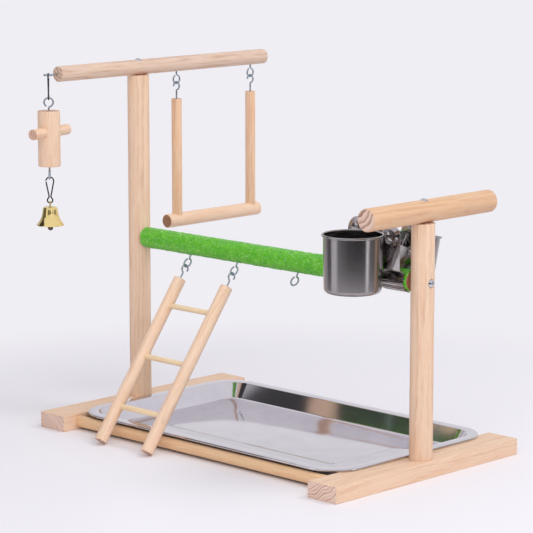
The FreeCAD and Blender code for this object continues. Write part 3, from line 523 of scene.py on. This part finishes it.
# grit sleeve
sleeve = dict(start=0.013, end=0.421, axis=(-0.008, 0.207), radius=0.012, inner=0.011, around=120, along=560,
              grainSize=0.0017, grainHeight=0.0012, lumpSize=0.006, lumpHeight=0.001)
deselect()
sleeveLength = sleeve["end"] - sleeve["start"]
bpy.ops.mesh.primitive_cylinder_add(
    vertices=sleeve["around"], radius=sleeve["radius"], depth=sleeveLength, end_fill_type="NOTHING",
    location=((sleeve["start"] + sleeve["end"]) / 2, *sleeve["axis"]), rotation=(0, math.pi / 2, 0))
piece = newPiece("grit_sleeve_grains")
settle()
bpy.ops.object.mode_set(mode="EDIT")
pick(piece, "EDGE", lambda e: abs(e.verts[0].co.x - e.verts[1].co.x) > sleeveLength / 2)
bpy.ops.mesh.subdivide_edgering(number_cuts=sleeve["along"], interpolation="LINEAR")
for end in (sleeve["start"], sleeve["end"]):
    pick(piece, "EDGE", lambda e: all(abs(v.co.x - end) < tiny for v in e.verts))
    bpy.ops.mesh.extrude_region_move()
    inward = sleeve["inner"] / sleeve["radius"]
    bpy.ops.transform.resize(value=(1, inward, inward), center_override=(end, *sleeve["axis"]))
bpy.ops.mesh.select_all(action="SELECT")
bpy.ops.mesh.normals_make_consistent(inside=False)
bpy.ops.object.mode_set(mode="OBJECT")
grains = bpy.data.textures.new("grains", "VORONOI")
grains.noise_scale = sleeve["grainSize"]
lumps = bpy.data.textures.new("lumps", "CLOUDS")
lumps.noise_scale = sleeve["lumpSize"]
apply(piece, "DISPLACE", texture=lumps, texture_coords="LOCAL", strength=sleeve["lumpHeight"], mid_level=0.75)
apply(piece, "DISPLACE", texture=grains, texture_coords="LOCAL", strength=sleeve["grainHeight"], mid_level=0.6)
finish(piece, "frame", "green_grit", greenGrit, "grit_sleeve", angle=60)
print("grit sleeve placed", len(piece.data.polygons))

# tray
tray = dict(low=(0.013, -0.124), high=(0.421, 0.128), corner=0.04, top=0.0206, flange=0.012, wall=0.013,
            drop=0.018, sheet=0.0006, roll=0.0013, panel=(0.254, 0.1), panelCorner=0.006, panelY=0.002,
            cornerSteps=20, flangeEdge=0.001,
            # each bend as pairs of inset and drop, or rise on the panel, and what it takes off the wall
            mouthBend=((0.0005, 0.0001), (0.0005, 0.0003), (0.0003, 0.0004)), mouthIn=0.0003, mouthDown=0.0008,
            floorBend=((0.0005, 0.00055), (0.0006, 0.0005), (0.0007, 0.00035), (0.0008, 0.0002)),
            floorIn=0.0026, floorDown=0.0016,
            panelBend=((0.0004, 0.0001), (0.0004, 0.0003), (0.0004, 0.0003), (0.0006, 0.0001)))


def roundedPlane(name, centre, size, corner, steps):
    deselect()
    bpy.ops.mesh.primitive_plane_add(size=1, location=centre)
    piece = newPiece(name)
    piece.scale = (size[0], size[1], 1)
    settle()
    bpy.ops.object.mode_set(mode="EDIT")
    bpy.ops.mesh.select_all(action="SELECT")
    bpy.ops.mesh.bevel(offset=corner, segments=steps, profile=0.5, affect="VERTICES")
    bpy.ops.object.mode_set(mode="OBJECT")
    return piece


trayCentre = Vector(((tray["low"][0] + tray["high"][0]) / 2, (tray["low"][1] + tray["high"][1]) / 2, 0))
traySize = Vector((tray["high"][0] - tray["low"][0], tray["high"][1] - tray["low"][1], 0))
roll = tray["roll"]
piece = roundedPlane("tray_sheet", trayCentre + up * (tray["top"] - roll), traySize, tray["corner"],
                     tray["cornerSteps"])
bpy.ops.object.mode_set(mode="EDIT")
bpy.ops.mesh.select_mode(type="FACE")
bpy.ops.mesh.select_all(action="SELECT")
rollAngles = [math.radians(a) for a in (0, 22.5, 45, 67.5, 90)]
rise = [roll * (1 - math.cos(a)) for a in rollAngles]
lift = [roll * math.sin(a) for a in rollAngles]
for i in range(1, 5):  # the rolled edge's upper half
    bpy.ops.mesh.inset(thickness=rise[i] - rise[i - 1], depth=0)
    bpy.ops.transform.translate(value=(0, 0, lift[i] - lift[i - 1]))
bpy.ops.mesh.inset(thickness=tray["flange"] - roll - tray["flangeEdge"], depth=0)
for step, down in tray["mouthBend"]:
    bpy.ops.mesh.inset(thickness=step, depth=0)
    bpy.ops.transform.translate(value=(0, 0, -down))
wallIn = tray["wall"] - tray["mouthIn"] - tray["floorIn"]
wallDown = tray["drop"] - tray["mouthDown"] - tray["floorDown"]
bpy.ops.mesh.inset(thickness=wallIn, depth=0)
bpy.ops.transform.translate(value=(0, 0, -wallDown))
for step, down in tray["floorBend"]:
    bpy.ops.mesh.inset(thickness=step, depth=0)
    bpy.ops.transform.translate(value=(0, 0, -down))
floorHeight = min(v.co.z for v in bmesh.from_edit_mesh(piece.data).verts)
bpy.ops.mesh.delete(type="ONLY_FACE")
pick(piece, "EDGE", lambda e: e.is_boundary and abs(e.verts[0].co.z - tray["top"] + roll) < tiny)
for i in range(1, 5):  # the rolled edge's lower half, tucked in under the flange
    step, down = rise[i] - rise[i - 1], lift[i] - lift[i - 1]
    now = 2 * rise[i - 1]
    bpy.ops.mesh.extrude_region_move()
    bpy.ops.transform.resize(value=((traySize.x - now - 2 * step) / (traySize.x - now),
                                    (traySize.y - now - 2 * step) / (traySize.y - now), 1),
                             center_override=trayCentre)
    bpy.ops.transform.translate(value=(0, 0, -down))
bpy.ops.object.mode_set(mode="OBJECT")
stamped = roundedPlane("stamped", (trayCentre.x, tray["panelY"], floorHeight), tray["panel"],
                       tray["panelCorner"], tray["cornerSteps"])
bpy.ops.object.mode_set(mode="EDIT")
bpy.ops.mesh.select_mode(type="FACE")
bpy.ops.mesh.select_all(action="SELECT")
for step, high in tray["panelBend"]:
    bpy.ops.mesh.inset(thickness=step, depth=0)
    bpy.ops.transform.translate(value=(0, 0, high))
bpy.ops.object.mode_set(mode="OBJECT")
activate(piece)
stamped.select_set(True)
bpy.ops.object.join()
bpy.ops.object.mode_set(mode="EDIT")
pick(piece, "EDGE", lambda e: e.is_boundary and abs(e.verts[0].co.z - floorHeight) < tiny)
bpy.ops.mesh.bridge_edge_loops()
bpy.ops.mesh.select_all(action="SELECT")
bpy.ops.mesh.normals_make_consistent(inside=False)
bpy.ops.object.mode_set(mode="OBJECT")
middleFace = max(piece.data.polygons, key=lambda f: f.area)
if middleFace.normal.z < 0:
    piece.data.flip_normals()
apply(piece, "SOLIDIFY", thickness=tray["sheet"], offset=-1)
finish(piece, "tray", "tray_steel", traySteel, "tray", angle=40)
print("tray placed", len(piece.data.polygons))

# swing
swing = dict(upright=0.012, low=0.2205, high=0.3625, at=(0.0525, 0.1745), bar=0.016, barHeight=0.2195,
             barEnds=(0.0355, 0.186))
for name, y, pith in (("front", swing["at"][0], (0.02, 0.06, 0)), ("rear", swing["at"][1], (-0.02, 0.16, 0))):
    woodenBar("swing_upright_" + name, "swing", (0, y, swing["low"]), (0, y, swing["high"]), swing["upright"],
              ease=0.0006, pith=pith, rings=4.4, contrast=0.75, pale=(0.9, 0.62, 0.42))
woodenBar("swing_bar", "swing", (0, swing["barEnds"][0], swing["barHeight"]),
          (0, swing["barEnds"][1], swing["barHeight"]), swing["bar"], ease=0.0012, pith=(0.014, 0, 0.235),
          rings=3.0, contrast=0.5, sawn=(0.42, 0.22, 0.13), sawnRing=(0.25, 0.11, 0.06))

# ladder
ladder = dict(left=0.0927, right=0.1676, y=-0.022369, z=0.183552, lean=36.4, rail=0.014, start=0.016,
              end=0.22288, rung=0.006, rungs=(0.05, 0.115, 0.1785), letIn=0.002)
tilt = math.radians(ladder["lean"])
down = Vector((0, -math.sin(tilt), -math.cos(tilt)))
for name, x, pith in (("left", ladder["left"], (0.115, -0.01, 0.18)),
                      ("right", ladder["right"], (0.15, -0.04, 0.16))):
    top = Vector((x, ladder["y"], ladder["z"]))
    woodenBar("ladder_rail_" + name, "ladder", top + down * ladder["start"], top + down * ladder["end"],
              ladder["rail"], ease=0.0004, pith=pith, rings=4.2, contrast=0.6, pale=(0.95, 0.71, 0.53))
for i, at in enumerate(ladder["rungs"]):
    middle = Vector((0, ladder["y"], ladder["z"])) + down * at
    woodenBar("ladder_rung_%d" % (i + 1), "ladder", middle + Vector((ladder["left"] - ladder["letIn"], 0, 0)),
              middle + Vector((ladder["right"] + ladder["letIn"], 0, 0)), ladder["rung"], ease=0.0003,
              pith=middle + Vector((0, 0.01, 0.012 - 0.006 * i)), rings=2.2, contrast=0.3, around=48,
              slotName="pale_pine", pale=(0.98, 0.8, 0.53))
print("swing and ladder placed")

# hanging toy
toy = dict(x=0.0035355, y=-0.146336, block=0.025, low=0.30195, high=0.36395, dowel=0.012, dowelLength=0.0659,
           dowelAt=(0.0030517, -0.1443955, 0.33995), turn=14.0)
woodenBar("toy_block", "block", (toy["x"], toy["y"], toy["low"]), (toy["x"], toy["y"], toy["high"]),
          toy["block"], ease=0.0009, pith=(0.02, -0.17, 0), rings=3.2, contrast=0.35)
turn = math.radians(toy["turn"])
axis = Vector((math.sin(turn), -math.cos(turn), 0))
centre = Vector(toy["dowelAt"])
woodenBar("cross_dowel", "block", centre - axis * toy["dowelLength"] / 2,
          centre + axis * toy["dowelLength"] / 2, toy["dowel"], ease=0.0006,
          pith=centre + Vector((0.016, 0, 0.012)), rings=2.6, contrast=0.35, around=64)

bell = dict(rim=(0.0035355, -0.146336, 0.236), mouth=0.0155, shoulder=0.00825, height=0.0205, bend=0.003,
            steep=82.0, flare=46.0, sheet=0.0008, lip=0.00018, arcSteps=8)
steep, flare = math.radians(bell["steep"]), math.radians(bell["flare"])
crown = bell["shoulder"] - bell["bend"]
startR = crown + bell["bend"] * math.sin(steep)
startZ = bell["height"] - bell["bend"] * (1 - math.cos(steep))
sweepR, sweepZ = math.sin(steep) - math.sin(flare), math.cos(flare) - math.cos(steep)
needR = bell["mouth"] - startR
flareRadius = (startZ - needR * math.tan(steep)) / (sweepZ - sweepR * math.tan(steep))
wallRun = (needR - flareRadius * sweepR) / math.cos(steep)


def bellLine(inward):
    bend, out = bell["bend"] - inward, flareRadius + inward
    line = [(0, bell["height"] - inward)]
    line += curve((crown, bell["height"] - bell["bend"]), bend, 90, 90 - bell["steep"], bell["arcSteps"])
    last = (line[-1][0] + wallRun * math.cos(steep), line[-1][1] - wallRun * math.sin(steep))
    centre = (last[0] + out * math.sin(steep), last[1] + out * math.cos(steep))
    return line + curve(centre, out, 270 - bell["steep"], 270 - bell["flare"], bell["arcSteps"])


outside, inside = bellLine(0), bellLine(bell["sheet"])
lip = [((outside[-1][0] + inside[-1][0]) / 2 + bell["lip"], (outside[-1][1] + inside[-1][1]) / 2 - bell["lip"])]
piece = lathe("bell_brass_wall", outside + lip + inside[::-1], bell["rim"], steps=96)
finish(piece, "bell", "bell_brass", bellBrass, "bell", angle=40)
print("toy placed")

# cups
cup = dict(base=(0.378, -0.0545, 0.195), radius=0.0315, baseRadius=0.0305, height=0.062, bend=0.005,
           sheet=0.0007, bead=0.00125, beadFrom=-75, beadTo=180, beadFoot=0.0011, beadInside=0.002)
rearTurn = dict(point=(0.37375, -0.008, 0.207), lean=12.0)
point = Vector(rearTurn["point"])
toRear = (Matrix.Translation(point) @ Matrix.Rotation(math.radians(-rearTurn["lean"]), 4, "X")
          @ Matrix.Rotation(math.pi, 4, "Z") @ Matrix.Translation(-point))


def cupLine(inward):
    line = curve((cup["baseRadius"] - cup["bend"], cup["bend"]), cup["bend"] - inward, -90, 0, 10)
    return [(0, inward)] + line


beadRadius, beadHeight = cup["radius"] - cup["sheet"] + cup["bead"], cup["height"] - cup["bead"]
profile = cupLine(0) + [(cup["radius"], beadHeight - cup["beadFoot"])]
profile += curve((beadRadius, beadHeight), cup["bead"], cup["beadFrom"], cup["beadTo"], 18)
profile += [(cup["radius"] - cup["sheet"], beadHeight - cup["beadInside"])] + cupLine(cup["sheet"])[::-1]
piece = lathe("front_cup_wall", profile, cup["base"], steps=128)
rearPiece = copyPiece(piece, "rear_cup_wall", toRear)
finish(piece, "front_cup_unit", "cup_steel", cupSteel, "front_cup", angle=40)
finish(rearPiece, "rear_cup_unit", "cup_steel", cupSteel, "rear_cup", angle=40)
print("cups placed")

# small metal parts keep the model's shapes, merged and smoothed
finishes = {"zinc_wire": zincWire, "dark_wire": darkWire, "screw_steel": screwSteel, "clip_steel": clipSteel,
            "bell_brass": bellBrass}
slots = {part["node"]: part["material_slot"] for part in frame["record"]["subparts"]}
for name, node in nodes.items():
    if node.hide_render:
        continue
    piece = copyPiece(node, name + "_smooth", Matrix.Identity(4))
    for key in list(piece.keys()):
        del piece[key]
    piece.parent = None
    activate(piece)
    bpy.ops.object.mode_set(mode="EDIT")
    bpy.ops.mesh.select_all(action="SELECT")
    bpy.ops.mesh.remove_doubles(threshold=2 * tiny)
    bpy.ops.object.mode_set(mode="OBJECT")
    material = clapperIron if name == "clapper" else finishes[slots[name]]
    finish(piece, node["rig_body"], slots[name], material, name, angle=30)
print("small metal parts placed")

# floor, backdrop, light and camera
studio = dict(pale=(0.868, 0.855, 0.9), paper=(0.93, 0.915, 0.96), fade=(0.36, 0.75), fadeFrom=(0.22, 0, 0),
              sky=0.62, floorRadius=14, floorAt=(0.2, 0, 0))
deselect()
bpy.ops.mesh.primitive_circle_add(vertices=96, radius=studio["floorRadius"], fill_type="NGON",
                                 location=studio["floorAt"])
floor = newPiece("studio_floor")
settle()
material, tree, shader = newMaterial("floorPaper", **{
    "Base Color": (*studio["paper"], 1), "Roughness": 0.6, "Specular IOR Level": 0.2})
place = placeIn(tree)
away = nodeIn(tree, "ShaderNodeVectorMath", operation="DISTANCE", inputs={1: studio["fadeFrom"]},
              links={0: place})
far = nodeIn(tree, "ShaderNodeMapRange", interpolation_type="SMOOTHSTEP",
             inputs={"From Min": studio["fade"][0], "From Max": studio["fade"][1]},
             links={"Value": away.outputs["Value"]})
backdrop = nodeIn(tree, "ShaderNodeEmission", inputs={"Color": (*studio["pale"], 1), "Strength": 1.0})
path = nodeIn(tree, "ShaderNodeLightPath").outputs
seen = mathIn(tree, "MAXIMUM", path["Is Camera Ray"], path["Is Glossy Ray"])
mixed = nodeIn(tree, "ShaderNodeMixShader", links={0: mathIn(tree, "MULTIPLY", far.outputs[0], seen),
                                                   1: shader.outputs[0], 2: backdrop.outputs[0]})
tree.links.new(mixed.outputs[0], tree.nodes["Material Output"].inputs["Surface"])
floor.data.materials.append(material)

world = bpy.data.worlds.new("studio")
bpy.context.scene.world = world
world.use_nodes = True
tree = world.node_tree
path = nodeIn(tree, "ShaderNodeLightPath").outputs
seen = mathIn(tree, "MAXIMUM", mathIn(tree, "MAXIMUM", path["Is Camera Ray"], path["Is Glossy Ray"]),
              path["Is Transmission Ray"])
strength = mathIn(tree, "ADD", studio["sky"], mathIn(tree, "MULTIPLY", seen, 1 - studio["sky"]))
tree.links.new(strength, tree.nodes["Background"].inputs["Strength"])
tree.nodes["Background"].inputs["Color"].default_value = (*studio["pale"], 1)

lamps = [
    dict(name="keyPanel", at=(1.05, 0.75, 1.9), size=(0.7, 0.7), power=10.5),
    dict(name="frontPanel", at=(1.7, -1.25, 1.4), size=(2.2, 2.2), power=22.0),
    dict(name="topPanel", at=(0.2, -0.1, 2.0), size=(1.4, 1.4), power=2.0),
]
aim = Vector((0.2, 0, 0.18))
for lamp in lamps:
    deselect()
    bpy.ops.object.light_add(type="AREA", location=lamp["at"])
    light = bpy.context.object
    light.name = lamp["name"]
    light.data.shape = "RECTANGLE"
    light.data.size, light.data.size_y = lamp["size"]
    light.data.energy = lamp["power"]
    light.rotation_euler = (aim - Vector(lamp["at"])).to_track_quat("-Z", "Y").to_euler()
    light.visible_glossy = False


def glowMaterial(name):
    material, tree = newMaterial(name)[:2]
    glow = nodeIn(tree, "ShaderNodeEmission")
    tree.links.new(glow.outputs[0], tree.nodes["Material Output"].inputs["Surface"])
    return material, tree, glow.inputs["Color"]


def hangCloth(cloth, material):
    # a cloth that shows in reflections only
    cloth.data.materials.append(material)
    for ray in ("camera", "diffuse", "shadow", "transmission"):
        setattr(cloth, "visible_" + ray, False)


# dark and pale cloths stand in a ring round the object, by their bearing in degrees and their brightness
ring = dict(centre=(0.36, -0.04), radius=0.8, height=0.45, lift=0.001,
            cloths=((-180, 0.6), (-166, 0.6), (-156, 0.16), (-130, 0.12), (-125, 1.2), (-113, 1.2), (-105, 0.3),
                    (-86, 0.2), (-58, 0.06), (2, 0.03), (5, 1.8), (12, 1.8), (16, 0.25), (50, 0.2), (66, 0.6),
                    (90, 0.95), (155, 0.95), (170, 0.65), (180, 0.6)))
deselect()
bpy.ops.mesh.primitive_cylinder_add(
    vertices=128, radius=ring["radius"], depth=ring["height"], end_fill_type="NOTHING",
    location=(*ring["centre"], ring["height"] / 2 + ring["lift"]))
cloth = newPiece("studio_ring")
settle()
material, tree, glowColour = glowMaterial("ringCloth")
place = placeIn(tree)
fromCentre = nodeIn(tree, "ShaderNodeVectorMath", operation="SUBTRACT", inputs={1: (*ring["centre"], 0)},
                    links={0: place})
side = nodeIn(tree, "ShaderNodeSeparateXYZ", links={0: fromCentre.outputs[0]}).outputs
bearing = mathIn(tree, "MULTIPLY_ADD", mathIn(tree, "ARCTAN2", side[1], side[0]), 0.5 / math.pi, 0.5)
stops = [((degrees + 180) / 360, tuple(level * shade for shade in studio["pale"]))
         for degrees, level in ring["cloths"]]
tree.links.new(rampIn(tree, bearing, stops), glowColour)
hangCloth(cloth, material)

# a dark cloth to the left for the tray's back wall, and a pale strip for the bell
cloths = [
    dict(name="dark_cloth", at=(-0.54, -0.46, 0.74), facing=(0.25, 0.1, 0.01), size=(0.6, 0.5), level=0.06),
    dict(name="pale_strip", at=(0.235, -0.23, 0.18), facing=(0, -0.146, 0.18), size=(0.06, 0.34), level=1.3),
]
for each in cloths:
    deselect()
    bpy.ops.mesh.primitive_plane_add(size=1, location=each["at"])
    cloth = newPiece(each["name"])
    cloth.scale = (*each["size"], 1)
    cloth.rotation_euler = (Vector(each["facing"]) - Vector(each["at"])).to_track_quat("Z", "Y").to_euler()
    settle()
    material, tree, glowColour = glowMaterial(each["name"] + "Glow")
    glowColour.default_value = (*(each["level"] * shade for shade in studio["pale"]), 1)
    hangCloth(cloth, material)

# the camera as fitted to the photograph, its focal length and picture width in pixels
view = dict(at=(2.08712, -1.92506, 0.66088), tiltDown=9.8223, heading=44.4505, focal=2467.557, width=533,
            sensor=36, clipEnd=60)
deselect()
bpy.ops.object.camera_add(location=view["at"], rotation=(
    math.radians(90 - view["tiltDown"]), 0, math.radians(view["heading"])))
camera = bpy.context.object
camera.data.sensor_width = view["sensor"]
camera.data.lens = view["focal"] / view["width"] * view["sensor"]
camera.data.clip_end = view["clipEnd"]
bpy.context.scene.camera = camera
bpy.context.scene.view_settings.view_transform = "Standard"
print("studio ready")
